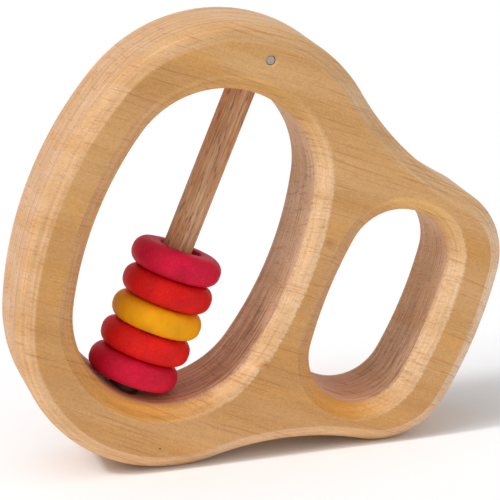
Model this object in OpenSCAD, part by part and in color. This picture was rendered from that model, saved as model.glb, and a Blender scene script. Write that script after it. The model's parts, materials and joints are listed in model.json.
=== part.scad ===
// Wooden grasping rattle: a board cut to a rounded head and a smaller handle, standing on its edge.
// +X runs towards the handle, -Y is the front face, +Z is up.  Units are millimetres.
// Plan sizes are taken in the board's own plane: U along the head-to-handle line, V along the rod,
// both counted from where the rod's axis crosses that line.

/* [Board] */
// Thickness of the board
board_thickness = 19.5; // [16:0.5:24]
// From the rod's axis to the far end of the head
head_end = 31.5; // [30:0.5:34]
// From the rod's axis to the far end of the handle
handle_end = 64.5; // [63:0.5:68]
// Greatest width of the head, across the board
head_width = 91.5; // [89:0.5:96]
// Radius of the head's long end curve
head_end_radius = 77.6; // [70:0.1:85]
// Radius of the head's two side curves
head_side_radius = 31.1; // [29:0.1:33]
// Greatest width of the handle, across the board
handle_width = 55; // [53:0.5:58]
// Radius of the handle's long end curve
handle_end_radius = 92.5; // [80:0.5:110]
// Radius of the handle's two corners
handle_corner_radius = 15.6; // [14:0.1:17]
// Radius of the hollow waist between head and handle
waist_radius = 59; // [52:0.5:66]

/* [Routed edge] */
// How far the routed edge reaches in across each face
edge_inset = 3.2; // [2.4:0.1:3.4]
// How deep the routed edge goes down the outside wall
outer_edge_depth = 2.7; // [1.8:0.1:3.4]
// How deep the routed edge goes down the walls of the openings
opening_edge_depth = 2; // [1.6:0.1:3]
// Radius of the cutter that shaped the edge, larger is flatter
edge_cutter_radius = 8; // [6:0.5:14]

/* [Head opening] */
// From the rod's axis to the middle of the head opening, along the board
head_opening_offset = 0.55; // [0:0.05:1.2]
// Length of the head opening, across the board
head_opening_length = 65; // [63:0.5:66]
// Radius of the two ends of the head opening
head_opening_end_radius = 19.3; // [18.5:0.1:20]
// Radius of the two long sides of the head opening
head_opening_side_radius = 72.5; // [66:0.5:80]

/* [Finger opening] */
// From the rod's axis to the middle of the finger opening
finger_opening_offset = 41.5; // [41:0.1:42.5]
// Length of the finger opening, across the board
finger_opening_length = 41.4; // [38:0.2:42]
// Radius of the two ends of the finger opening
finger_opening_end_radius = 10.6; // [9.8:0.1:11]
// Radius of the two long sides of the finger opening
finger_opening_side_radius = 88; // [80:1:120]

/* [Rod] */
// Diameter of the rod
rod_diameter = 5.9; // [5.4:0.1:6.2]
// Glue gap round the rod in its two bores
rod_seat_gap = 0.05; // [0.03:0.01:0.1]
// How far the rod's low end sits inside the outside wall
rod_end_recess = 0.5; // [0.3:0.1:1]
// Wood left above the blind bore at the rod's high end
rod_cover = 2.5; // [2:0.1:4]
// Air left past the rod's high end in the blind bore
rod_end_gap = 0.4; // [0.2:0.1:1]

/* [Locking pin] */
// Diameter of the pin
pin_diameter = 1.8; // [1.4:0.1:2.2]
// From the pin's axis to the rod's high end
pin_end_distance = 3.2; // [2.8:0.1:4]
// How far the pin reaches past the rod's axis
pin_reach = 5; // [4:0.2:6]
// How far the pin's end sits below the front face
pin_recess = 0.1; // [0.05:0.01:0.3]
// Gap round the pin
pin_seat_gap = 0.03; // [0.02:0.01:0.08]

/* [Discs] */
// Diameter of each disc
disc_diameter = 18.3; // [17.5:0.1:19]
// Thickness of each disc
disc_thickness = 5.65; // [5.4:0.05:6]
// Radius of the rounded rim of a disc
disc_rim_radius = 2.6; // [2:0.05:2.65]
// Diameter of the hole through a disc
disc_hole_diameter = 8.6; // [8.5:0.1:9.2]
// Rounding at the mouth of the hole
disc_hole_rounding = 0.45; // [0.2:0.05:0.6]
// Air between neighbouring discs at rest
disc_gap = 0.1; // [0.06:0.02:0.2]
// Air between the lowest disc and the end of the opening
disc_seat_gap = 0.3; // [0.2:0.05:0.5]
// How far the loose discs tip backwards on the rod
disc_tip = 4; // [0:0.5:5]

/* [Hidden] */
$fn = 96;
half_board = board_thickness / 2;
// Sideways hang of the discs, lowest first, as parts of the largest hang the hole allows
disc_hang = [0.45, 0.8, 1, 1, 0.7];
disc_hang_limit = disc_hole_diameter / 2 - rod_diameter / 2 - 0.25;

// Centres of the curves that make the outline: A head end, B head side, D waist, E corner, F handle end
a_u = head_end_radius - head_end;
b_v = head_width / 2 - head_side_radius;
b_u = a_u - sqrt(pow(head_end_radius - head_side_radius, 2) - b_v * b_v);
a_spread = asin(b_v / (head_end_radius - head_side_radius));
f_u = handle_end - handle_end_radius;
e_v = handle_width / 2 - handle_corner_radius;
e_u = f_u + sqrt(pow(handle_end_radius - handle_corner_radius, 2) - e_v * e_v);
f_spread = asin(e_v / (handle_end_radius - handle_corner_radius));

// The waist circle touches both the head side and the corner from outside
be_u = e_u - b_u;
be_v = e_v - b_v;
be_length = sqrt(be_u * be_u + be_v * be_v);
be_angle = atan2(be_v, be_u);
bd_reach = head_side_radius + waist_radius;
ed_reach = handle_corner_radius + waist_radius;
d_along = (pow(be_length, 2) + pow(bd_reach, 2) - pow(ed_reach, 2)) / (2 * be_length);
d_angle_at_b = be_angle + acos(d_along / bd_reach);
d_u = b_u + bd_reach * cos(d_angle_at_b);
d_v = b_v + bd_reach * sin(d_angle_at_b);
d_angle_at_e = atan2(d_v - e_v, d_u - e_u);

// The board stands on the head side and the corner: the line that touches both from below is level
stand_angle = -be_angle + asin((head_side_radius - handle_corner_radius) / be_length);
lift = head_side_radius + b_u * sin(stand_angle) + b_v * cos(stand_angle);
reach_left = b_u * cos(stand_angle) - b_v * sin(stand_angle) - head_side_radius;
reach_right = e_u * cos(stand_angle) + e_v * sin(stand_angle) + handle_corner_radius;
shift = -(reach_left + reach_right) / 2;

// Rod
rod_low = -b_v - sqrt(pow(head_side_radius, 2) - b_u * b_u) + rod_end_recess;
bore_high = b_v + sqrt(pow(head_side_radius, 2) - b_u * b_u) - rod_cover;
rod_high = bore_high - rod_end_gap;
pin_position = rod_high - pin_end_distance;

// Lowest disc: its rim touches the round end of the opening on both sides
head_arc_v = head_opening_length / 2 - head_opening_end_radius;
rim_reach = disc_diameter / 2 - disc_rim_radius;
rim_drop = sqrt(pow(head_opening_end_radius - disc_seat_gap - disc_rim_radius, 2) - pow(rim_reach, 2));
disc_low = -head_arc_v - rim_drop + disc_thickness / 2 - disc_rim_radius;
disc_pitch = disc_thickness + disc_gap;

// The board's plane is stood up, tipped until it rests on both curves, and set on the floor
module stood() {
  translate([shift, 0, lift])
    rotate([0, stand_angle, 0])
      rotate([90, 0, 0])
        children();
}

// Points along an arc, the last one left to the next arc; inset moves them into the wood
function arc(centre, radius, from, to, steps) =
  [for (i = [0:steps - 1]) let (a = from + (to - from) * i / steps)
    [centre[0] + radius * cos(a), centre[1] + radius * sin(a)]];

// Outline of the board moved inwards by an inset, as a chain of arcs that touch each other
function outline(inset) = concat(
  arc([f_u, 0], handle_end_radius - inset, -f_spread, f_spread, 4),
  arc([e_u, e_v], handle_corner_radius - inset, f_spread, d_angle_at_e, 16),
  arc([d_u, d_v], waist_radius + inset, d_angle_at_e + 180, d_angle_at_b + 180, 14),
  arc([b_u, b_v], head_side_radius - inset, d_angle_at_b, 180 - a_spread, 20),
  arc([a_u, 0], head_end_radius - inset, 180 - a_spread, 180 + a_spread, 7),
  arc([b_u, -b_v], head_side_radius - inset, 180 + a_spread, 360 - d_angle_at_b, 20),
  arc([d_u, -d_v], waist_radius + inset, 180 - d_angle_at_b, 180 - d_angle_at_e, 14),
  arc([e_u, -e_v], handle_corner_radius - inset, 360 - d_angle_at_e, 360 - f_spread, 16));

// Outline of an opening moved outwards by a flare: two end curves and two long side curves
function oval(offset_u, length, end_radius, side_radius, flare) =
  let (
    end_v = length / 2 - end_radius,
    side_u = sqrt(pow(side_radius - end_radius, 2) - end_v * end_v),
    spread = asin(end_v / (side_radius - end_radius))
  )
  concat(
    arc([offset_u - side_u, 0], side_radius + flare, -spread, spread, 8),
    arc([offset_u, end_v], end_radius + flare, spread, 180 - spread, 22),
    arc([offset_u + side_u, 0], side_radius + flare, 180 - spread, 180 + spread, 8),
    arc([offset_u, -end_v], end_radius + flare, 180 + spread, 360 - spread, 22));

// The routed edge from the face down to the wall: [reach from the wall, height], at parts of its arc
function routed(depth, parts) =
  let (
    chord = sqrt(edge_inset * edge_inset + depth * depth),
    rise = sqrt(pow(edge_cutter_radius, 2) - chord * chord / 4),
    centre_x = edge_inset / 2 + depth / chord * rise,
    centre_y = -depth / 2 - edge_inset / chord * rise,
    from = atan2(-centre_y, edge_inset - centre_x),
    to = atan2(-depth - centre_y, -centre_x)
  )
  [for (part = parts) let (a = from + (to - from) * part)
    [centre_x + edge_cutter_radius * cos(a), centre_y + edge_cutter_radius * sin(a)]];

// Solid between rings of points of equal count, lowest ring first
module stack(rings, heights) {
  count = len(rings[0]);
  last = len(rings) - 1;
  polyhedron(
    points = [for (k = [0:last]) for (p = rings[k]) [p[0], p[1], heights[k]]],
    faces = concat(
      [[for (i = [0:count - 1]) i]],
      [[for (i = [0:count - 1]) last * count + count - 1 - i]],
      [for (k = [0:last - 1]) for (i = [0:count - 1]) let (j = (i + 1) % count)
        [k * count + i, (k + 1) * count + i, k * count + j]],
      [for (k = [0:last - 1]) for (i = [0:count - 1]) let (j = (i + 1) % count)
        [k * count + j, (k + 1) * count + i, (k + 1) * count + j]]));
}

// The routed edge runs on past each face along its own curve, and the two faces then cut it off
module board() {
  edge = routed(outer_edge_depth, [-0.4, 0.25, 0.6, 1]);
  insets = concat([for (p = edge) p[0]], [for (i = [3:-1:0]) edge[i][0]]);
  heights = concat([for (p = edge) -half_board - p[1]], [for (i = [3:-1:0]) half_board + edge[i][1]]);
  intersection() {
    stack([for (inset = insets) outline(inset)], heights);
    translate([-head_end - 10, -head_width, -half_board])
      cube([head_end + handle_end + 20, head_width * 2, board_thickness]);
  }
}

// The cutter runs on past each face along its own curve, so that it leaves the face cleanly
module opening(offset_u, length, end_radius, side_radius) {
  edge = routed(opening_edge_depth, [-0.4, 0.25, 0.6, 1]);
  flares = concat([for (p = edge) p[0]], [for (i = [3:-1:0]) edge[i][0]]);
  heights = concat([for (p = edge) -half_board - p[1]], [for (i = [3:-1:0]) half_board + edge[i][1]]);
  stack([for (flare = flares) oval(offset_u, length, end_radius, side_radius, flare)], heights);
}

module along_rod(low, high, radius) {
  translate([0, low, 0])
    rotate([-90, 0, 0])
      cylinder(r = radius, h = high - low);
}

module frame() {
  color([0.77, 0.59, 0.36])
    stood()
      difference() {
        board();
        opening(head_opening_offset, head_opening_length, head_opening_end_radius, head_opening_side_radius);
        opening(finger_opening_offset, finger_opening_length, finger_opening_end_radius,
          finger_opening_side_radius);
        along_rod(rod_low - 5, bore_high, rod_diameter / 2 + rod_seat_gap);
        translate([0, pin_position, -pin_reach - 0.3])
          cylinder(d = pin_diameter + 2 * pin_seat_gap, h = board_thickness);
      }
}

module rod() {
  color([0.69, 0.5, 0.36])
    stood()
      difference() {
        along_rod(rod_low, rod_high, rod_diameter / 2);
        translate([0, pin_position, -rod_diameter])
          cylinder(d = pin_diameter + 2 * pin_seat_gap, h = rod_diameter * 2);
      }
}

module locking_pin() {
  color([0.6, 0.6, 0.6])
    stood()
      translate([0, pin_position, -pin_reach])
        cylinder(d = pin_diameter, h = pin_reach + half_board - pin_recess);
}

// Section of one disc to the right of its axis
module disc_section() {
  inner = disc_hole_diameter / 2;
  outer = disc_diameter / 2;
  half = disc_thickness / 2;
  difference() {
    translate([inner, -half])
      square([outer - inner, disc_thickness]);
    for (side = [-1, 1]) {
      translate([outer, side * half])
        scale([1, side])
          corner_waste(disc_rim_radius);
      translate([inner, side * half])
        scale([-1, side])
          corner_waste(disc_hole_rounding);
    }
  }
}

// Region outside a quarter round whose corner is at the origin
module corner_waste(radius) {
  difference() {
    translate([-radius, -radius])
      square(radius + 1);
    translate([-radius, -radius])
      circle(r = radius);
  }
}

module disc(number) {
  stood()
    translate([disc_hang[number - 1] * disc_hang_limit, disc_low + (number - 1) * disc_pitch, 0])
      rotate([-90 - disc_tip, 0, 0])
        rotate_extrude()
          disc_section();
}

module disc_1() {
  color([0.75, 0.11, 0.25])
    disc(1);
}

module disc_2() {
  color([0.82, 0.12, 0.11])
    disc(2);
}

module disc_3() {
  color([0.94, 0.66, 0.1])
    disc(3);
}

module disc_4() {
  color([0.82, 0.12, 0.11])
    disc(4);
}

module disc_5() {
  color([0.75, 0.11, 0.25])
    disc(5);
}

frame();
rod();
locking_pin();
disc_1();
disc_2();
disc_3();
disc_4();
disc_5();
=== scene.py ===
import json
import math
import bmesh
import bpy
import numpy as np
from mathutils import Matrix, Vector, noise
from mathutils.geometry import delaunay_2d_cdt


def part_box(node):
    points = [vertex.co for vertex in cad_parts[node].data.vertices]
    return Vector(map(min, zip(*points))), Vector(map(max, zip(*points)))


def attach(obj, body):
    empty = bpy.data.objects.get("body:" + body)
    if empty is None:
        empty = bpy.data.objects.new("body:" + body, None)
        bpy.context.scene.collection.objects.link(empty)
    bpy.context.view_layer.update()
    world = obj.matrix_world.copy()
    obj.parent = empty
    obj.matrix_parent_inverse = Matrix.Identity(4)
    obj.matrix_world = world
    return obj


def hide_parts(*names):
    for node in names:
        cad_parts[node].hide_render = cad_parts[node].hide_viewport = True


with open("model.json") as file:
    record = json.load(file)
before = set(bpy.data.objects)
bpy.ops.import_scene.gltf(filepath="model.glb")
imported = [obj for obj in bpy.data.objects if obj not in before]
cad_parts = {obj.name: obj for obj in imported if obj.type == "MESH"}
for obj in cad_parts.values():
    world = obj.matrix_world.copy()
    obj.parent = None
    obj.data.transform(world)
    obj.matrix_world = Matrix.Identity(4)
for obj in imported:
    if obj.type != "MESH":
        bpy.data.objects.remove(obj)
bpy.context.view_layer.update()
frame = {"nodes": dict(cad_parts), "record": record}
mm = 0.001
rodAxis = Vector(frame["record"]["behaviour"]["joints"][0]["axis"]).normalized()
faceAxis = Vector((0, -1, 0))  # out of the front face
boardAxis = rodAxis.cross(faceAxis).normalized()  # from the head towards the handle
boardAxis = boardAxis if boardAxis.x > 0 else -boardAxis
print("frame loaded")


def linearColour(hexCode):
    parts = [int(hexCode[i:i + 2], 16) / 255 for i in (1, 3, 5)]
    return [c / 12.92 if c < 0.04045 else ((c + 0.055) / 1.055) ** 2.4 for c in parts] + [1]


def addNode(tree, kind, inputs=None, **settings):
    # an input that is a node is linked from that node's first working output
    node = tree.nodes.new("ShaderNode" + kind)
    for name, value in settings.items():
        setattr(node, name, value)
    for name, value in (inputs or {}).items():
        if isinstance(value, bpy.types.Node):
            value = next(output for output in value.outputs if output.enabled)
        if isinstance(value, bpy.types.NodeSocket):
            tree.links.new(value, node.inputs[name])
        else:
            node.inputs[name].default_value = value
    return node


def newMaterial(name):
    material = bpy.data.materials.new(name)
    material.use_nodes = True
    material.node_tree.nodes.clear()
    return material, material.node_tree


# Sizes of the wooden board in millimetres, in its own plane: along the board, across it, and depth
boardLook = {
    "thickness": 19.5,
    "headEnd": 31.5,
    "handleEnd": 64.5,
    "headWidth": 91.5,
    "handleWidth": 55.0,
    "headEndRadius": 77.6,
    "headSideRadius": 31.1,
    "waistRadius": 59.0,
    "cornerRadius": 15.6,
    "handleEndRadius": 92.5,
    "openings": [  # offset along the board, length, end radius, side radius
        (0.55, 65.0, 19.3, 72.5),
        (41.5, 41.4, 10.6, 88.0),
    ],
    "edgeInset": 3.2,
    "outerEdgeDepth": 2.7,
    "openingEdgeDepth": 2.0,
    "edgeRadius": 8.0,
    "arrisRadius": 0.45,  # how far the sanded arrises are rounded back
    "faceArris": 0.45,  # the same beside the flat face, as a share of that
    "wearAndHighlight": (0.3, 0.8, 1.0, 0.8, 0.3),  # how worn an arris is across its rounding, which also places a painted highlight
    "wallRows": (0.0, 2.4, 4.6),  # heights over the middle where the wall has a row of points
    "wallGap": 1.0,  # from the wall's last row to the routed edge
    "cutRows": 9,  # rows of points over the routed edge
    "edgeFade": 0.6,  # how far in from the wall its colour is that of the routed edge
    "rimGap": 0.3,  # from the routed edge in to where the flat face's net begins
    "step": 0.55,  # spacing of points along the outline
    "netStep": 1.6,  # spacing of points on the flat faces
    "netClear": 0.7,  # how far those keep from the routed edges
    "netBox": (-34, 67, -48, 48),  # where they are laid out, a little larger than the board
    "heave": (0.02, 5.0),  # how far the planed wood is from flat, and over what length
    "handWaver": 0.05,  # how far the routed edge wanders, as a share of its width
    "wavers": ((9.0, 0.7), (2.2, 0.3)),  # length and share of its slow and its quick wander
    "boreRadius": 3.0,
    "boreReach": (60.0, 44.39),  # from the rod's middle out past the low edge, and to the blind end
    "pinHoleRadius": 0.93,
    "pinHoleReach": (7.6, 9.0),  # from the pin's middle to the blind end, and out past the face
    "drillSides": 72,
    "routerStep": {"place": -17.6, "share": 0.15, "length": 0.25, "fade": 5.0, "beyond": 10.0},
    # chips: along the board, across it, size, depth
    "chips": [(22.9, -17.6, 0.8, 0.45), (26.9, -14.2, 0.5, 0.12), (25.0, 9.5, 0.45, 0.12)],
    "chipReach": 2.4,  # how far below the face a chip can go
}


def arcPoints(centre, radius, start, end, hollow=False):
    count = max(4, int(math.radians(abs(end - start)) * radius / boardLook["step"]))
    side = -1 if hollow else 1
    rows = []
    for i in range(count):
        angle = math.radians(start + (end - start) * i / count)
        c, s = math.cos(angle), math.sin(angle)
        rows.append((centre[0] + radius * c, centre[1] + radius * s, side * c, side * s))
    return rows


def boardOutline():
    # eight arcs that touch: a head end, b head sides, d waists, e handle corners, f handle end
    look = boardLook
    ra, rb, rd = look["headEndRadius"], look["headSideRadius"], look["waistRadius"]
    re, rf = look["cornerRadius"], look["handleEndRadius"]
    au, bv = ra - look["headEnd"], look["headWidth"] / 2 - rb
    bu = au - math.sqrt((ra - rb) ** 2 - bv ** 2)
    fu, ev = look["handleEnd"] - rf, look["handleWidth"] / 2 - re
    eu = fu + math.sqrt((rf - re) ** 2 - ev ** 2)
    aSpread = math.degrees(math.asin(bv / (ra - rb)))
    fSpread = math.degrees(math.asin(ev / (rf - re)))
    gap, lean = math.hypot(eu - bu, ev - bv), math.degrees(math.atan2(ev - bv, eu - bu))
    along = (gap ** 2 + (rb + rd) ** 2 - (re + rd) ** 2) / (2 * gap)
    atB = lean + math.degrees(math.acos(along / (rb + rd)))
    du = bu + (rb + rd) * math.cos(math.radians(atB))
    dv = bv + (rb + rd) * math.sin(math.radians(atB))
    atE = math.degrees(math.atan2(dv - ev, du - eu))
    return np.array(
        arcPoints((fu, 0), rf, -fSpread, fSpread)
        + arcPoints((eu, ev), re, fSpread, atE)
        + arcPoints((du, dv), rd, atE + 180, atB + 180, True)
        + arcPoints((bu, bv), rb, atB, 180 - aSpread)
        + arcPoints((au, 0), ra, 180 - aSpread, 180 + aSpread)
        + arcPoints((bu, -bv), rb, 180 + aSpread, 360 - atB)
        + arcPoints((du, -dv), rd, 180 - atB, 180 - atE, True)
        + arcPoints((eu, -ev), re, 360 - atE, 360 - fSpread))


def openingOutline(offset, length, endRadius, sideRadius):
    endV = length / 2 - endRadius
    sideU = math.sqrt((sideRadius - endRadius) ** 2 - endV ** 2)
    spread = math.degrees(math.asin(endV / (sideRadius - endRadius)))
    return np.array(
        arcPoints((offset - sideU, 0), sideRadius, -spread, spread, True)
        + arcPoints((offset, endV), endRadius, spread, 180 - spread, True)
        + arcPoints((offset + sideU, 0), sideRadius, 180 - spread, 180 + spread, True)
        + arcPoints((offset, -endV), endRadius, 180 + spread, 360 - spread, True))


def rounded(before, corner, after, reach):
    before, corner, after = (np.array(p, float) for p in (before, corner, after))
    a = corner + (before - corner) / np.linalg.norm(before - corner) * reach
    b = corner + (after - corner) / np.linalg.norm(after - corner) * reach
    return [tuple((1 - t) ** 2 * a + 2 * t * (1 - t) * corner + t * t * b)
            for t in np.linspace(0, 1, len(boardLook["wearAndHighlight"]))]


def edgeProfile(depth):
    # from the middle of the wall up to the face: reach in from the wall, height over the middle, wear and
    # painted highlight
    look = boardLook
    half, inset, radius = look["thickness"] / 2, look["edgeInset"], look["edgeRadius"]
    chord = math.hypot(inset, depth)
    rise = math.sqrt(radius ** 2 - chord ** 2 / 4)
    centre = (inset / 2 + depth / chord * rise, half - depth / 2 - inset / chord * rise)
    start = math.atan2(half - depth - centre[1], -centre[0])
    end = math.atan2(half - centre[1], inset - centre[0])
    if start < end:
        start += 2 * math.pi
    arc = [(centre[0] + radius * math.cos(a), centre[1] + radius * math.sin(a))
           for a in np.linspace(start, end, look["cutRows"])]
    wall = [(0.0, height) for height in look["wallRows"]] + [(0.0, half - depth - look["wallGap"])]
    furtherIn = (inset + 2, half)  # any point of the flat face
    lower = rounded(wall[-1], arc[0], arc[2], look["arrisRadius"])
    upper = rounded(arc[-3], arc[-1], furtherIn, look["arrisRadius"] * look["faceArris"])
    profile = [(*p, 0.0) for p in wall]
    profile += [(*p, wearAndHighlight) for p, wearAndHighlight in zip(lower, look["wearAndHighlight"])]
    profile += [(*p, 0.0) for p in arc[2:-2]]
    profile += [(*p, wearAndHighlight) for p, wearAndHighlight in zip(upper, look["wearAndHighlight"])]
    return profile + [(inset + look["rimGap"], half, 0.0)]


def standOn(outline):
    # where the middle of the head opening is, once the board stands on the floor in the frame's box
    low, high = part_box("frame")
    x = outline[:, 0] * boardAxis.x + outline[:, 1] * rodAxis.x
    z = outline[:, 0] * boardAxis.z + outline[:, 1] * rodAxis.z
    return Vector(((low.x + high.x) / 2 - (x.min() + x.max()) / 2 * mm,
                   (low.y + high.y) / 2,
                   low.z - z.min() * mm))


outerLoop = boardOutline()
standOrigin = standOn(outerLoop)


def toFrame(u, v, w):
    return standOrigin + (boardAxis * u + rodAxis * v + faceAxis * w) * mm


def waver(points, seed):
    # slow wander of the router and the sanding block, drawn from the place itself so the ends meet
    (slow, slowShare), (quick, quickShare) = boardLook["wavers"]
    return np.array([noise.noise(Vector((p[0] / slow, p[1] / slow, seed))) * slowShare
                     + noise.noise(Vector((p[0] / quick, p[1] / quick, seed + 7))) * quickShare
                     for p in points])


def routerStep(loop):
    # two passes of the router meet a little out of line beside the chip, on the side towards the handle
    look = boardLook["routerStep"]
    past = loop[:, 1] - look["place"]
    step = np.tanh(past / look["length"]) * np.exp(-np.abs(past) / look["fade"]) * look["share"]
    return np.where(loop[:, 0] > look["beyond"], step, 0.0)


def inside(points, loop):
    x, y = points[:, 0:1], points[:, 1:2]
    ax, ay = loop[:, 0], loop[:, 1]
    bx, by = np.roll(ax, -1), np.roll(ay, -1)
    crosses = (ay > y) != (by > y)
    at = ax + (y - ay) * (bx - ax) / np.where(by == ay, 1e-9, by - ay)
    return (np.sum(crosses & (x < at), axis=1) % 2) == 1


def makeObject(name, points, faces, body, tags):
    mesh = bpy.data.meshes.new(name)
    mesh.from_pydata([tuple(p) for p in points], [], faces)
    shell = bmesh.new()
    shell.from_mesh(mesh)
    bmesh.ops.recalc_face_normals(shell, faces=shell.faces)
    shell.to_mesh(mesh)
    shell.free()
    for tag, values in tags.items():
        layer = mesh.attributes.new(tag, "FLOAT", "POINT")
        layer.data.foreach_set("value", np.asarray(values, np.float32))
    mesh.shade_smooth()
    piece = bpy.data.objects.new(name, mesh)
    bpy.context.scene.collection.objects.link(piece)
    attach(piece, body)
    return piece


def boxCentre(node):
    low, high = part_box(node)
    return (low + high) / 2


def drill(piece, start, end, radius):
    shell = bmesh.new()
    turn = (end - start).to_track_quat("Z", "Y").to_matrix().to_4x4()
    bmesh.ops.create_cone(shell, cap_ends=True, segments=boardLook["drillSides"],
                          radius1=radius * mm, radius2=radius * mm, depth=(end - start).length,
                          matrix=Matrix.Translation((start + end) / 2) @ turn)
    mesh = bpy.data.meshes.new("bit")
    shell.to_mesh(mesh)
    shell.free()
    bit = bpy.data.objects.new("bit", mesh)
    bpy.context.scene.collection.objects.link(bit)
    cut = piece.modifiers.new("bore", "BOOLEAN")
    cut.object, cut.operation, cut.solver = bit, "DIFFERENCE", "EXACT"
    bpy.context.view_layer.update()
    drilled = piece.evaluated_get(bpy.context.evaluated_depsgraph_get())
    drilledMesh = bpy.data.meshes.new_from_object(drilled)
    piece.modifiers.clear()
    piece.data = drilledMesh
    bpy.data.objects.remove(bit)
    bpy.data.meshes.remove(mesh)


def onFace(places, planes):
    return inside(places, planes[0]) & ~inside(places, planes[1]) & ~inside(places, planes[2])


def flatFace(points, rims, side):
    # a net of triangles between the routed edges; its own points are added to points
    look = boardLook
    planes = [plan for _, plan in rims]
    lowU, highU, lowV, highV = look["netBox"]
    gap = look["netStep"]
    net = np.stack(np.meshgrid(np.arange(lowU, highU, gap), np.arange(lowV, highV, gap)), -1).reshape(-1, 2)
    net[:, 0] += (np.round(net[:, 1] / gap).astype(int) % 2) * gap / 2
    away = net[:, None, :] - np.vstack(planes)[None, :, :]
    near = np.min(np.hypot(away[..., 0], away[..., 1]), axis=1)
    net = net[onFace(net, planes) & (near > look["netClear"])]
    base = len(points)
    points += [(p[0], p[1], side * look["thickness"] / 2) for p in net]
    known, edges = [], []
    for start, plan in rims:
        offset = len(known)
        known += range(start, start + len(plan))
        edges += [(offset + i, offset + (i + 1) % len(plan)) for i in range(len(plan))]
    known += range(base, len(points))
    flat = [Vector(points[i][:2]) for i in known]
    _, _, triangles, origins, _, _ = delaunay_2d_cdt(flat, edges, [], 0, 1e-7)
    corners = [[known[origins[i][0]] for i in triangle] for triangle in triangles]
    middles = np.array([np.mean([points[i][:2] for i in three], axis=0) for three in corners])
    return [tuple(three if side > 0 else reversed(three))
            for three, wanted in zip(corners, onFace(middles, planes)) if wanted]


def handFinish(u, v, w):
    # how far the wood is pushed in here, in mm, and how much of that is a chip
    look = boardLook
    depth, length = look["heave"]
    push, chip = depth * noise.noise(Vector((u / length, v / length, w / length))), 0.0
    for chipU, chipV, size, chipDepth in look["chips"]:
        away = math.hypot(u - chipU, v - chipV) / size
        if away < 2 and w > look["thickness"] / 2 - look["chipReach"]:
            chip = math.exp(-away * away * 2)  # next to nothing at twice its size
            push += chipDepth * chip
    return push, chip


def buildBoard():
    look = boardLook
    loops = [(outerLoop, look["outerEdgeDepth"], 0.0)]
    loops += [(openingOutline(*o), look["openingEdgeDepth"], 1.0) for o in look["openings"]]
    points, faces = [], []
    tags = {"edge": [], "opening": [], "wearAndHighlight": [], "chip": []}
    rims = {1: [], -1: []}  # the loops where the flat faces begin: first point and plan
    for number, (loop, depth, isInside) in enumerate(loops):
        count, first = len(loop), len(points)
        half = edgeProfile(depth)
        profile = [(reach, -height, wearAndHighlight) for reach, height, wearAndHighlight in reversed(half[1:])] + half
        drift = {side: 1 + look["handWaver"] * waver(loop, 3 * number + side) for side in (1, -1)}
        if number == 1:
            drift[1] += routerStep(loop)
        for reach, height, wearAndHighlight in profile:
            scale = drift[1 if height >= 0 else -1] if reach > 0.01 else np.ones(count)
            plan = loop[:, :2] - loop[:, 2:] * (reach * scale)[:, None]
            points += [(p[0], p[1], height) for p in plan]
            isRouted = min(1.0, reach / look["edgeFade"]) * (reach < look["edgeInset"] - 0.1)
            for tag, value in (("edge", isRouted), ("opening", isInside), ("wearAndHighlight", wearAndHighlight)):
                tags[tag] += [value] * count
        rings = len(profile)
        for k in range(rings - 1):
            low, high = first + k * count, first + (k + 1) * count
            for i in range(count):
                j = (i + 1) % count
                faces.append((low + i, low + j, high + j, high + i))
        for side, ring in ((-1, 0), (1, rings - 1)):
            start = first + ring * count
            rims[side].append((start, np.array([p[:2] for p in points[start:start + count]])))
    for side in (1, -1):
        faces += flatFace(points, rims[side], side)
    for tag in ("edge", "opening", "wearAndHighlight"):
        tags[tag] += [0.0] * (len(points) - len(tags[tag]))
    placed = []
    for u, v, w in points:
        push, chip = handFinish(u, v, w)
        tags["chip"].append(chip)
        placed.append(toFrame(u, v, w - math.copysign(push, w) * min(1, abs(w) / (look["thickness"] / 2))))
    board = makeObject("board", placed, faces, "frame", tags)
    rodPlace, pinPlace = boxCentre("rod"), boxCentre("locking_pin")
    below, above = look["boreReach"]
    drill(board, rodPlace - rodAxis * below * mm, rodPlace + rodAxis * above * mm, look["boreRadius"])
    behind, before = look["pinHoleReach"]
    drill(board, pinPlace - faceAxis * behind * mm, pinPlace + faceAxis * before * mm, look["pinHoleRadius"])
    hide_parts("frame")
    return board


board = buildBoard()
print("board built:", len(board.data.vertices), "points")


# How turned pieces stray from round: lengths of the slow and the fine wander, and the share of the fine
# one and of the wander along the axis
turnedLook = {"slow": 3.0, "fine": 0.9, "fineShare": 0.5, "alongShare": 0.5}


def latheObject(name, body, centre, axis, profile, sides, finish, seed, ring=False):
    # profile: radius and height in mm round the axis, with how deep in the mouth each point lies
    axis = Vector(axis).normalized()
    across = axis.cross(faceAxis if abs(axis.dot(faceAxis)) < 0.9 else rodAxis).normalized()
    front = axis.cross(across)
    points, faces, tags = [], [], []
    count = len(profile)
    for i in range(sides):
        angle = 2 * math.pi * i / sides
        c, s = math.cos(angle), math.sin(angle)
        for radius, height, tag in profile:
            place = Vector((radius * c, radius * s, height))
            slow = noise.noise(place / turnedLook["slow"] + Vector((seed, 0, 0)))
            fine = noise.noise(place / turnedLook["fine"] + Vector((0, seed, 0)))
            push = finish * (slow + turnedLook["fineShare"] * fine)
            r, h = radius + push, height + push * turnedLook["alongShare"]
            points.append(centre + (across * (r * c) + front * (r * s) + axis * h) * mm)
            tags.append(tag)
    for i in range(sides):
        j = (i + 1) % sides
        for k in range(count if ring else count - 1):
            n = (k + 1) % count
            faces.append((i * count + k, j * count + k, j * count + n, i * count + n))
    if not ring:
        for k, sign in ((0, -1), (count - 1, 1)):
            middle = len(points)
            points.append(centre + axis * profile[k][1] * mm)
            tags.append(profile[k][2])
            for i in range(sides):
                j = (i + 1) % sides
                ends = (i * count + k, j * count + k)
                faces.append((middle, *(ends if sign > 0 else reversed(ends))))
    return makeObject(name, points, faces, body, {"mouth": tags})


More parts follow.
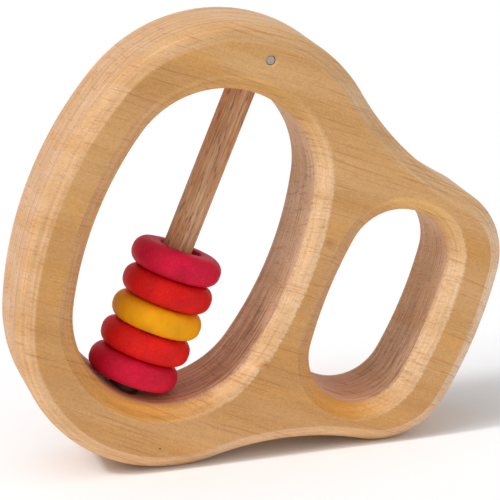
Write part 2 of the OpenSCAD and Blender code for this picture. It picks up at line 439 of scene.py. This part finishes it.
# The loose discs: turned from hardwood, rims sanded full and round, then dipped in stain
discLook = {
    "radius": 9.15,
    "thickness": 5.65,
    "rimRadius": 2.6,
    "holeRadius": 4.3,
    "holeRounding": 0.45,
    "tip": 4.0,
    "sides": 144,
    "rimRows": 25,
    "mouthRows": 6,
    "flatRows": (0.25, 0.5, 0.75),
    "mouthOnFlat": 0.6,  # how far into the mouth the flat counts beside the hole, which the painted shade of the mouth follows
    "handFinish": 0.05,
    "colours": {"disc_1": "#DC0E38", "disc_2": "#E91812", "disc_3": "#FBA902",
                "disc_4": "#E01410", "disc_5": "#D60E3A"},
    "slots": {"disc_1": "stain_crimson", "disc_2": "stain_red", "disc_3": "stain_amber",
              "disc_4": "stain_red", "disc_5": "stain_crimson"},
}


def discProfile():
    # radius, height and how far into the mouth of the hole, once round the section
    look = discLook
    half, r, rim = look["thickness"] / 2, look["radius"], look["rimRadius"]
    hole, soft = look["holeRadius"], look["holeRounding"]
    flat = half - rim
    rows = []
    for a in np.linspace(-90, 90, look["rimRows"]):
        rows.append((r - rim + rim * math.cos(math.radians(a)),
                     math.copysign(flat, a) * (1 if a else 0) + rim * math.sin(math.radians(a)), 0.0))
    for t in look["flatRows"]:
        rows.append((r - rim + (hole + soft - r + rim) * t, half, t * look["mouthOnFlat"]))
    for a in np.linspace(90, 0, look["mouthRows"]):
        rows.append((hole + soft - soft * math.cos(math.radians(a)),
                     half - soft + soft * math.sin(math.radians(a)), 1.0))
    for t in look["flatRows"]:
        rows.append((hole, (half - soft) * (1 - 2 * t), 1.0))
    for a in np.linspace(0, -90, look["mouthRows"]):
        rows.append((hole + soft - soft * math.cos(math.radians(a)),
                     -half + soft + soft * math.sin(math.radians(a)), 1.0))
    for t in reversed(look["flatRows"]):
        rows.append((r - rim + (hole + soft - r + rim) * t, -half, t * look["mouthOnFlat"]))
    return rows


def buildDiscs():
    tip = math.radians(discLook["tip"])
    axis = rodAxis * math.cos(tip) - faceAxis * math.sin(tip)
    discs = {}
    for number, node in enumerate(discLook["colours"]):
        disc = latheObject("stained_" + node, node, boxCentre(node), axis, discProfile(),
                           discLook["sides"], discLook["handFinish"], 3.7 * number + 1, ring=True)
        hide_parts(node)
        discs[node] = disc
    return discs


discs = buildDiscs()
print("discs built:", len(discs))

# The rod is plain dowel, cut square and barely broken at its ends
rodLook = {
    "radius": 2.95,
    "sides": 96,
    "step": 1.2,
    "handFinish": 0.02,
    "endBreak": 0.25,
    "breakMiddle": 0.3,  # share of the break where its rounding bends
    "endRing": 0.5,  # share of the radius where the flat end has a ring of points
}


def buildRod():
    look = rodLook
    low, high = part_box("rod")
    radius, ring = look["radius"], look["radius"] * look["endRing"]
    length = ((high.z - low.z) / mm - 2 * radius * math.hypot(rodAxis.x, rodAxis.y)) / rodAxis.z
    half, cut = length / 2, look["endBreak"]
    bend = cut * look["breakMiddle"]
    rows = [(ring, -half, 0.0), (radius - cut, -half, 0.0),
            (radius - bend, -half + bend, 0.0), (radius, -half + cut, 0.0)]
    count = int(length / look["step"])
    rows += [(radius, -half + cut + (length - 2 * cut) * i / count, 0.0) for i in range(1, count)]
    rows += [(radius, half - cut, 0.0), (radius - bend, half - bend, 0.0),
             (radius - cut, half, 0.0), (ring, half, 0.0)]
    rod = latheObject("dowel_rod", "frame", boxCentre("rod"), rodAxis, rows, look["sides"],
                      look["handFinish"], 11.0)
    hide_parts("rod")
    return rod


rod = buildRod()

# The locking pin is a cut steel brad: its end is a little domed and burred
pinLook = {
    "radius": 0.9,
    "length": 14.65,
    "sides": 48,
    "lowEnd": ((0.6, 0.0), (1.0, 0.15)),  # share of the radius, distance in from the end
    "highEnd": ((1.0, 0.2), (0.93, 0.06)),
    "domeRings": (0.8, 0.6, 0.4, 0.2),
    "domeBase": 0.03,
    "domeRise": 0.028,
    "handFinish": 0.012,
}


def buildPin():
    look = pinLook
    radius, half = look["radius"], look["length"] / 2
    rows = [(radius * share, -half + inward, 0.0) for share, inward in look["lowEnd"]] + [(radius, 0.0, 0.0)]
    rows += [(radius * share, half - inward, 0.0) for share, inward in look["highEnd"]]
    rows += [(radius * share, half - look["domeBase"] + look["domeRise"] * (1 - share * share), 0.0)
             for share in look["domeRings"]]
    pin = latheObject("steel_pin", "frame", boxCentre("locking_pin"), faceAxis, rows, look["sides"],
                      look["handFinish"], 5.0)
    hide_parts("locking_pin")
    return pin


pin = buildPin()
print("rod and pin built")


def boardPlace(tree):
    # millimetres in the board's own plane: x along its grain, y through it, z across it and along the rod
    place = addNode(tree, "TexCoord").outputs["Object"]
    tilt = math.atan2(rodAxis.x, rodAxis.z)
    return addNode(tree, "Mapping", {"Vector": place, "Scale": [1 / mm] * 3, "Rotation": (0, -tilt, 0)})


def distanceFrom(tree, point):
    place = addNode(tree, "TexCoord").outputs["Object"]
    return addNode(tree, "VectorMath", {0: place, 1: point}, operation="DISTANCE")


def woodNoise(tree, place, size, detail, roughness):
    # noise whose features have these sizes, in mm, in the three directions of the board
    vector = addNode(tree, "Mapping", {"Vector": place, "Scale": [1 / d for d in size]})
    return addNode(tree, "TexNoise",
                   {"Vector": vector, "Scale": 1.0, "Detail": detail, "Roughness": roughness})


def coatWith(tree, colour, roughness, height, bump, shine):
    # bump: strength and depth in metres
    relief = addNode(tree, "Bump", {"Height": height, "Strength": bump[0], "Distance": bump[1]})
    shader = addNode(tree, "BsdfPrincipled",
                     {"Base Color": colour, "Roughness": roughness, "Normal": relief} | shine)
    addNode(tree, "OutputMaterial", {"Surface": shader})


# Alder, planed on its faces, routed along its edges, sanded to about 180 grit and oiled.
# The eye sees a soft yellow tan face with thin growth lines. The routed edges change with the way the cutter
# met the grain: pale and pinkish where it crossed the fibres, orange where it ran along them, and their
# colour for each facing also holds painted light and shade.
# Streaks left by the sanding drum run round the walls, and the arrises are a little paler, partly from wear
# and partly a painted highlight where the light catches them.
# The finest fibres, pores and sanding marks are drawn a little coarser than they are, so that they show.
alderLook = {
    "colours": {"face": "#E0AE74", "faceDeep": "#CF9A62", "faceWarm": "#E3A65C", "line": "#984A1C",
                "band": "#C4883F", "torn": "#6E3A22", "mark": "#3C2418", "wearAndHighlight": "#F2DCBC"},
    # colours of the edges and walls that look to the head, to the handle, upwards and downwards, each with
    # painted light and shade for how that side is lit
    "outerEdge": ("#DDB083", "#E2C2A2", "#D6AB7A", "#EBBE8D"),
    "outerWall": ("#D0A782", "#EAC6A2", "#D3A87B", "#E6B584"),
    "openingEdge": ("#EEC599", "#CF9F70", "#D89545", "#E8B571"),
    "openingWall": ("#DFB692", "#D4AE88", "#E8A886", "#DCAF82"),
    "noises": {  # sizes in mm along the grain, through the board and across it, detail, roughness
        "broad": ((50, 16, 13), 3.0, 0.5),
        "warm": ((34, 34, 6), 2.0, 0.5),
        "wander": ((70, 30, 40), 2.0, 0.5),
        "bands": ((60, 20, 4.5), 2.0, 0.5),
        "lines": ((20, 5, 0.42), 1.0, 0.5),
        "rays": ((5, 1.5, 0.35), 1.0, 0.5),
        "torn": ((7, 0.34, 7), 3.0, 0.6),
        "fibres": ((9, 0.392, 0.28), 3.0, 0.5),
        "vessels": ((1.8, 0.2, 0.2), 1.0, 0.5),
        "grit": ((0.32, 0.32, 0.32), 2.0, 0.5),
        "drum": ((22, 0.42, 22), 4.0, 0.65),
        "fuzz": ((0.45, 0.45, 0.45), 2.0, 0.5),
    },
    "ranges": {  # from low to high, and where given to low and high, as Map Range numbers them
        "broad": {1: 0.35, 2: 0.65},
        "warm": {1: 0.5, 2: 0.7, 3: 0.0, 4: 0.7},
        "bands": {1: 0.38, 2: 0.66},
        "lines": {1: 0.6, 2: 0.72},
        "rays": {1: 0.56, 2: 0.72},
        "torn": {1: 0.5, 2: 0.62},
        "tornPlace": {1: 46.0, 2: 22.0, 3: 0.15, 4: 1.0},  # mm across the board: more at the low side
        "tornFacing": {1: 0.2, 2: 0.8},
        "vessels": {1: 0.62, 2: 0.74},
        "fuzz": {1: 0.42, 2: 0.6, 3: 0.1, 4: 1.0},
        "wall": {1: 0.45, 2: 0.1},  # how far a surface looks out of the face, from edge to wall
    },
    "edgeGain": 1.6,  # brings the routed edge's colour in sooner
    "ringSlant": 0.22,  # how far a growth ring moves across the board for each mm through it
    "ringWander": 9.0,  # mm
    "bandShare": 0.38,
    "lineShare": 0.4,
    "linesToRays": 0.75,  # strength of a growth line beside a fine ray
    "tornShare": (0.6, 0.12),  # more on the walls, and everywhere
    "streakShare": (0.6, 0.85),
    "raysShare": (0.55, 0.15),  # more on cut end grain, and everywhere
    "wearAndHighlightShare": (0.5, 0.08),  # painted highlight on the opening arrises that look to the head, and wear everywhere
    "chipShare": 0.55,
    "markShare": 0.8,
    "noiseMiddle": 0.5,  # the noise value that leaves the shade as it is
    "fibreShade": (0.24, 0.88),  # for the fibres, and everywhere
    "vesselShade": -0.12,
    "gritShade": 0.4,
    "relief": {"fibres": 0.4, "vessels": -0.6, "grit": 0.5, "drum": 1.2},
    "bump": (0.35, 0.00012),
    "roughness": 0.5,
    "roughMore": 0.12,  # for the fibres, and again for end grain
    "shine": {"IOR": 1.45, "Specular IOR Level": 0.35},
    "flecks": [(8.46, -40.0, 0.27), (23.3, -17.7, 0.3)],  # along, across, radius in mm
}


def paintedLightByFacing(tree, weights, colours):
    total = None
    for weight, colour in zip(weights, colours):
        part = addNode(tree, "VectorMath", {0: linearColour(colour)[:3], "Scale": weight}, operation="SCALE")
        total = addNode(tree, "VectorMath", {0: total, 1: part}, operation="ADD") if total else part
    return total


def facingWeights(tree, normal):
    # how much a surface looks to the head, to the handle, upwards and downwards; they add up to one
    along, across = (addNode(tree, "VectorMath", {0: normal, 1: axis}, operation="DOT_PRODUCT")
                     for axis in (boardAxis, rodAxis))
    nearZero = 0.0001  # keeps the flat faces from dividing by nothing
    inPlane = addNode(tree, "Math", {0: across, 1: across, 2: nearZero}, operation="MULTIPLY_ADD")
    inPlane = addNode(tree, "Math", {0: along, 1: along, 2: inPlane}, operation="MULTIPLY_ADD")
    weights = []
    for value, sign in ((along, -1), (along, 1), (across, 1), (across, -1)):
        part = addNode(tree, "Math", {0: value, 1: sign}, operation="MULTIPLY")
        part = addNode(tree, "Math", {0: part, 1: 0.0}, operation="MAXIMUM")
        part = addNode(tree, "Math", {0: part, 1: part}, operation="MULTIPLY")
        weights.append(addNode(tree, "Math", {0: part, 1: inPlane}, operation="DIVIDE"))
    return weights


def alderMaterial():
    look, ranges = alderLook, alderLook["ranges"]
    hue = {name: linearColour(code) for name, code in look["colours"].items()}
    material, tree = newMaterial("oiledAlder")
    place = boardPlace(tree)
    alongGrain, through, across = addNode(tree, "SeparateXYZ", {0: place}).outputs
    edge, opening, wearAndHighlight, chip = (addNode(tree, "Attribute", attribute_name=name).outputs["Fac"]
                                 for name in ("edge", "opening", "wearAndHighlight", "chip"))
    normal = addNode(tree, "TexCoord").outputs["Normal"]
    facing = facingWeights(tree, normal)
    toHead, toHandle = facing[:2]
    endGrain = addNode(tree, "Math", {0: toHead, 1: toHandle}, operation="ADD")
    outOfFace = addNode(tree, "SeparateXYZ", {0: normal}).outputs[1]
    outOfFace = addNode(tree, "Math", {0: outOfFace}, operation="ABSOLUTE")
    isWall = addNode(tree, "MapRange", {0: outOfFace} | ranges["wall"])
    isEdge = addNode(tree, "Math", {0: edge, 1: look["edgeGain"]}, operation="MULTIPLY", use_clamp=True)
    isCut = addNode(tree, "Math", {0: isEdge, 1: isWall}, operation="MAXIMUM")

    broad = woodNoise(tree, place, *look["noises"]["broad"])
    broad = addNode(tree, "MapRange", {0: broad} | ranges["broad"])
    warm = woodNoise(tree, place, *look["noises"]["warm"])
    warm = addNode(tree, "MapRange", {0: warm} | ranges["warm"])
    face = addNode(tree, "Mix", {0: broad, 6: hue["faceDeep"], 7: hue["face"]}, data_type="RGBA")
    face = addNode(tree, "Mix", {0: warm, 6: face, 7: hue["faceWarm"]}, data_type="RGBA")
    cuts = []
    # each facing of the edges and walls has its own colour, which holds painted light and shade besides the
    # change of grain
    for edgeName, wallName in (("outerEdge", "outerWall"), ("openingEdge", "openingWall")):
        edgeColour = paintedLightByFacing(tree, facing, look[edgeName])
        wallColour = paintedLightByFacing(tree, facing, look[wallName])
        cuts.append(addNode(tree, "Mix", {0: isWall, 6: edgeColour, 7: wallColour}, data_type="RGBA"))
    cut = addNode(tree, "Mix", {0: opening, 6: cuts[0], 7: cuts[1]}, data_type="RGBA")
    colour = addNode(tree, "Mix", {0: isCut, 6: face, 7: cut}, data_type="RGBA")

    # growth rings cross the board a little aslant and wander; thin dark lines lie along them in broken runs
    wander = woodNoise(tree, place, *look["noises"]["wander"])
    ring = addNode(tree, "Math", {0: through, 1: look["ringSlant"], 2: across}, operation="MULTIPLY_ADD")
    ring = addNode(tree, "Math", {0: wander, 1: look["ringWander"], 2: ring}, operation="MULTIPLY_ADD")
    ringPlace = addNode(tree, "CombineXYZ", {0: alongGrain, 1: through, 2: ring})
    rings = {}
    for name in ("bands", "lines", "rays"):
        rings[name] = woodNoise(tree, ringPlace, *look["noises"][name])
        rings[name] = addNode(tree, "MapRange", {0: rings[name]} | ranges[name])
    bands = addNode(tree, "Math", {0: rings["bands"], 1: look["bandShare"]}, operation="MULTIPLY")
    more, least = look["raysShare"]
    cutEnds = addNode(tree, "Math", {0: endGrain, 1: isCut}, operation="MULTIPLY")
    cutEnds = addNode(tree, "Math", {0: cutEnds, 1: more, 2: least}, operation="MULTIPLY_ADD")
    rays = addNode(tree, "Math", {0: rings["rays"], 1: cutEnds}, operation="MULTIPLY")
    lines = addNode(tree, "Math", {0: rings["lines"], 1: look["linesToRays"], 2: rays},
                    operation="MULTIPLY_ADD", use_clamp=True)
    lines = addNode(tree, "Math", {0: lines, 1: look["lineShare"]}, operation="MULTIPLY")

    # torn grain where the cutter ran against the fibres, on the handle side of the openings
    torn = woodNoise(tree, place, *look["noises"]["torn"])
    more, least = look["tornShare"]
    torn, lowSide, headSide = (addNode(tree, "MapRange", {0: value} | ranges[name]) for value, name in
                               ((torn, "torn"), (across, "tornPlace"), (toHead, "tornFacing")))
    onWalls = addNode(tree, "Math", {0: isWall, 1: more, 2: least}, operation="MULTIPLY_ADD")
    for share in (lowSide, opening, headSide, onWalls):
        torn = addNode(tree, "Math", {0: torn, 1: share}, operation="MULTIPLY")
    for share, name in ((bands, "band"), (lines, "line"), (torn, "torn")):
        colour = addNode(tree, "Mix", {0: share, 6: colour, 7: hue[name]}, data_type="RGBA")

    # streaks from the sanding drum keep one depth in the board, so they run round its walls
    fibres, vessels, grit, drum, fuzz = (woodNoise(tree, place, *look["noises"][name])
                                         for name in ("fibres", "vessels", "grit", "drum", "fuzz"))
    vessels = addNode(tree, "MapRange", {0: vessels} | ranges["vessels"])
    more, least = look["streakShare"]
    onWalls = addNode(tree, "Math", {0: isWall, 1: more, 2: least}, operation="MULTIPLY_ADD")
    streaks = addNode(tree, "Math", {0: drum, 1: look["noiseMiddle"]}, operation="SUBTRACT")
    streaks = addNode(tree, "Math", {0: streaks, 1: onWalls}, operation="MULTIPLY")
    more, least = look["fibreShade"]
    gritLess = addNode(tree, "Math", {0: grit, 1: look["noiseMiddle"]}, operation="SUBTRACT")
    shade = addNode(tree, "Math", {0: fibres, 1: more, 2: least}, operation="MULTIPLY_ADD")
    for value, share in ((vessels, look["vesselShade"]), (gritLess, look["gritShade"]), (streaks, isCut)):
        shade = addNode(tree, "Math", {0: value, 1: share, 2: shade}, operation="MULTIPLY_ADD")
    colour = addNode(tree, "VectorMath", {0: colour, "Scale": shade}, operation="SCALE")

    # the arrises are worn to a little pale fuzz; the opening arrises that look to the head get much more, a
    # painted highlight where the light from the left catches them
    fuzz = addNode(tree, "MapRange", {0: fuzz} | ranges["fuzz"])
    more, least = look["wearAndHighlightShare"]
    pale = addNode(tree, "Math", {0: opening, 1: toHead}, operation="MULTIPLY")
    pale = addNode(tree, "Math", {0: pale, 1: more, 2: least}, operation="MULTIPLY_ADD")
    for share in (wearAndHighlight, fuzz):
        pale = addNode(tree, "Math", {0: pale, 1: share}, operation="MULTIPLY")
    chipped = addNode(tree, "Math", {0: chip, 1: look["chipShare"]}, operation="MULTIPLY")
    marks = [(pale, "wearAndHighlight"), (chipped, "line")]
    for u, v, radius in look["flecks"]:
        away = distanceFrom(tree, toFrame(u, v, boardLook["thickness"] / 2))
        limits = {1: radius * mm, 2: radius * 0.5 * mm, 4: look["markShare"]}
        marks.append((addNode(tree, "MapRange", {0: away} | limits), "mark"))
    for share, name in marks:
        colour = addNode(tree, "Mix", {0: share, 6: colour, 7: hue[name]}, data_type="RGBA")

    drum = addNode(tree, "Math", {0: drum, 1: isWall}, operation="MULTIPLY")
    height = 0.0
    for name, value in {"vessels": vessels, "fibres": fibres, "grit": grit, "drum": drum}.items():
        depth = look["relief"][name]
        height = addNode(tree, "Math", {0: value, 1: depth, 2: height}, operation="MULTIPLY_ADD")
    rough = look["roughness"]
    for value in (fibres, endGrain):
        rough = addNode(tree, "Math", {0: value, 1: look["roughMore"], 2: rough}, operation="MULTIPLY_ADD")
    coatWith(tree, colour, rough, height, look["bump"], look["shine"])
    return material


# Beech dowel, drawn through a round cutter and left bare.
# The eye sees a pinkish brown with fine long streaks and short dark ray flecks; its low end is darkened with
# painted shade.
beechLook = {
    "light": "#E4B68A",
    "dark": "#B07A54",
    "warm": "#BE7238",
    "fleck": "#5E3420",
    # painted shade for the rod's low end
    "lowEndShade": "#2A1210",
    "streaks": ((0.35, 0.35, 8.75), 3.0, 0.5),  # sizes in mm, the last one along the rod, detail, roughness
    "flecks": ((0.3, 0.3, 2.4), 1.0, 0.5),
    "broad": ((3, 3, 16), 2.0, 0.5),
    "blotches": ((1.6, 1.6, 9), 2.0, 0.5),
    "ranges": {  # from low to high, and where given to high, as Map Range numbers them
        "flecks": {1: 0.58, 2: 0.7},
        "tone": {1: 0.5, 2: 0.9},
        "warm": {1: 0.5, 2: 0.68, 4: 0.5},
        "lowEndShade": {1: 5.5 * mm, 2: 3.3 * mm, 4: 0.9},  # painted shade where the low end lies in the dark under the lowest disc
    },
    "broadShare": 0.5,
    "streakShare": 0.9,
    "fleckShare": 0.6,
    "bump": (0.3, 0.0001),
    "roughness": 0.53,
    "roughMore": 0.15,
    "shine": {"IOR": 1.45},
}


def beechMaterial():
    look = {name: linearColour(value) if isinstance(value, str) else value
            for name, value in beechLook.items()}
    material, tree = newMaterial("bareBeechDowel")
    place = boardPlace(tree)
    streaks, flecks, broad, blotches = (woodNoise(tree, place, *look[name])
                                        for name in ("streaks", "flecks", "broad", "blotches"))
    ranges = look["ranges"]
    flecks = addNode(tree, "MapRange", {0: flecks} | ranges["flecks"])
    tone = addNode(tree, "Math", {0: streaks, 1: look["streakShare"]}, operation="MULTIPLY")
    tone = addNode(tree, "Math", {0: broad, 1: look["broadShare"], 2: tone}, operation="MULTIPLY_ADD")
    tone = addNode(tree, "MapRange", {0: tone} | ranges["tone"])
    warm = addNode(tree, "MapRange", {0: blotches} | ranges["warm"])
    flecked = addNode(tree, "Math", {0: flecks, 1: look["fleckShare"]}, operation="MULTIPLY")
    # painted shade: the rod's low end, in the dark under the lowest disc, is darkened in its colour
    away = distanceFrom(tree, toFrame(0, -boardLook["openings"][0][1] / 2, 0))
    lowEndShade = addNode(tree, "MapRange", {0: away} | ranges["lowEndShade"])
    colour = look["dark"]
    for share, name in ((tone, "light"), (warm, "warm"), (flecked, "fleck"), (lowEndShade, "lowEndShade")):
        colour = addNode(tree, "Mix", {0: share, 6: colour, 7: look[name]}, data_type="RGBA")
    height = addNode(tree, "Math", {0: streaks, 1: flecks}, operation="SUBTRACT")
    rough = addNode(tree, "Math", {0: streaks, 1: look["roughMore"], 2: look["roughness"]},
                    operation="MULTIPLY_ADD")
    coatWith(tree, colour, rough, height, look["bump"], look["shine"])
    return material


# Maple discs dipped in a thin water stain and sanded lightly between dips.
# The eye sees a strong matte colour with a pale speckle where the fibres stood up and were cut off.
stainLook = {
    "speckle": ((0.24, 0.24, 0.4), 2.0, 0.5),  # sizes in mm, the last one along the rod, detail, roughness
    "patch": ((3.5, 3.5, 3.5 / 0.6), 3.0, 0.5),
    "speckleRange": {1: 0.48, 2: 0.75},  # from low to high, as Map Range numbers them
    "patchRange": {1: 0.4, 2: 0.7},
    "deepTone": 0.55,  # how dark the stain is where it soaked in, and how dark the painted shade is in and round the hole
    "paleTone": 0.22,  # how far it goes to white on cut fibres
    "deepShare": 0.42,
    "paleShare": 0.09,
    # painted shade in and round the hole
    "mouthShadeShare": 0.45,
    "bump": (0.3, 0.0001),
    "roughness": 0.55,
    "roughMore": 0.12,
    "shine": {"IOR": 1.45, "Specular IOR Level": 0.17},
}


def stainMaterial(node, hexCode):
    look = stainLook
    stain = linearColour(hexCode)
    deep = [c * look["deepTone"] for c in stain[:3]] + [1]
    pale = [c + (1 - c) * look["paleTone"] for c in stain[:3]] + [1]
    material, tree = newMaterial("waterStainedMaple_" + node)
    place = boardPlace(tree)
    speckle = addNode(tree, "MapRange", {0: woodNoise(tree, place, *look["speckle"])} | look["speckleRange"])
    patch = addNode(tree, "MapRange", {0: woodNoise(tree, place, *look["patch"])} | look["patchRange"])
    mouth = addNode(tree, "Attribute", attribute_name="mouth").outputs["Fac"]
    colour = stain
    # the patches where the stain soaked in and the pale speckle are the maple's own; the darkening in and
    # round the hole is painted shade
    stainAndShade = ((patch, "deepShare", deep), (speckle, "paleShare", pale), (mouth, "mouthShadeShare", deep))
    for value, share, tone in stainAndShade:
        amount = addNode(tree, "Math", {0: value, 1: look[share]}, operation="MULTIPLY")
        colour = addNode(tree, "Mix", {0: amount, 6: colour, 7: tone}, data_type="RGBA")
    rough = addNode(tree, "Math", {0: speckle, 1: look["roughMore"], 2: look["roughness"]},
                    operation="MULTIPLY_ADD")
    coatWith(tree, colour, rough, speckle, look["bump"], look["shine"])
    return material


# Mild steel brad, nipped and filed: dull grey with file lines and a little scuff
steelLook = {
    "dull": "#8C8784",
    "bright": "#B9B4AE",
    "fileLines": ((1 / 6, 1.0, 1 / 1.2), 2.0, 0.5),  # sizes in mm, detail, roughness
    "bump": (0.4, 0.0001),
    "roughness": 0.5,
    "shine": {"Metallic": 1.0},
}


def steelMaterial():
    look = steelLook
    material, tree = newMaterial("filedSteel")
    lines = woodNoise(tree, boardPlace(tree), *look["fileLines"])
    colour = addNode(tree, "Mix", {0: lines, 6: linearColour(look["dull"]), 7: linearColour(look["bright"])},
                     data_type="RGBA")
    coatWith(tree, colour, look["roughness"], lines, look["bump"], look["shine"])
    return material


board.data.materials.append(alderMaterial())
rod.data.materials.append(beechMaterial())
pin.data.materials.append(steelMaterial())
for node, disc in discs.items():
    disc.data.materials.append(stainMaterial(node, discLook["colours"][node]))
for node, carried in frame["nodes"].items():  # hidden CAD nodes carry the same finishes
    carried.data.materials.clear()
    shown = {"frame": board, "rod": rod, "locking_pin": pin}.get(node) or discs[node]
    carried.data.materials.append(shown.data.materials[0])
print("materials made")

# White sweep, soft daylight from the left and a little in front, white room all round
stageLook = {
    "floorSize": 6.0,
    "floorWhite": "#FBFCFE",
    "lamps": [  # name, degrees from the front towards the right, degrees high, strength, spread
        ("daylightLeft", -83, 48, 1.05, 6),
        ("daylightWide", -75, 48, 0.82, 22),
        ("skylight", -60, 78, 0.5, 40),
        ("cardRight", 75, 10, 0.6, 50),
    ],
    "room": 0.41,
}


def buildStage():
    look = stageLook
    size = look["floorSize"] / 2
    mesh = bpy.data.meshes.new("floor")
    corners = [(-size, -size, 0), (size, -size, 0), (size, size, 0), (-size, size, 0)]
    mesh.from_pydata(corners, [], [(0, 1, 2, 3)])
    floor = bpy.data.objects.new("floor", mesh)
    bpy.context.scene.collection.objects.link(floor)
    material, tree = newMaterial("whitePaperSweep")
    paper = addNode(tree, "BsdfDiffuse", {"Color": linearColour(look["floorWhite"])})
    addNode(tree, "OutputMaterial", {"Surface": paper})
    mesh.materials.append(material)
    for name, azimuth, height, strength, spread in look["lamps"]:
        lamp = bpy.data.lights.new(name, "SUN")
        lamp.energy = strength
        lamp.angle = math.radians(spread)
        holder = bpy.data.objects.new(name, lamp)
        a, h = math.radians(azimuth), math.radians(height)
        toLamp = Vector((math.sin(a) * math.cos(h), -math.cos(a) * math.cos(h), math.sin(h)))
        holder.rotation_euler = toLamp.to_track_quat("Z", "Y").to_euler()
        bpy.context.scene.collection.objects.link(holder)
    world = bpy.data.worlds.new("whiteRoom")
    world.use_nodes = True
    tree = world.node_tree
    tree.nodes.clear()
    rays = addNode(tree, "LightPath").outputs
    seen = addNode(tree, "Math", {0: rays["Is Camera Ray"], 1: rays["Is Glossy Ray"]}, operation="ADD")
    seen = addNode(tree, "Math", {0: seen, 1: rays["Is Transmission Ray"]}, operation="ADD", use_clamp=True)
    strength = addNode(tree, "Math", {0: seen, 1: 1.0 - look["room"], 2: look["room"]},
                       operation="MULTIPLY_ADD")
    back = addNode(tree, "Background", {"Color": (1, 1, 1, 1), "Strength": strength})
    addNode(tree, "OutputWorld", {"Surface": back})
    bpy.context.scene.world = world


buildStage()

cameraLook = {
    "place": (-0.124437, -0.416935, 0.186659),
    "right": (0.957752, -0.287429, -0.009822),
    "up": (0.100159, 0.301341, 0.948242),
    "lens": 166.62,
}


def buildCamera():
    look = cameraLook
    right, up = Vector(look["right"]), Vector(look["up"])
    turn = Matrix((right, up, right.cross(up))).transposed()
    camera = bpy.data.cameras.new("camera")
    camera.lens = look["lens"]
    camera.sensor_width = 36
    camera.clip_start, camera.clip_end = 0.01, 20
    holder = bpy.data.objects.new("camera", camera)
    holder.matrix_world = Matrix.Translation(look["place"]) @ turn.to_4x4()
    bpy.context.scene.collection.objects.link(holder)
    bpy.context.scene.camera = holder


buildCamera()
bpy.context.scene.view_settings.view_transform = "Standard"
print("stage, lamps and camera set")
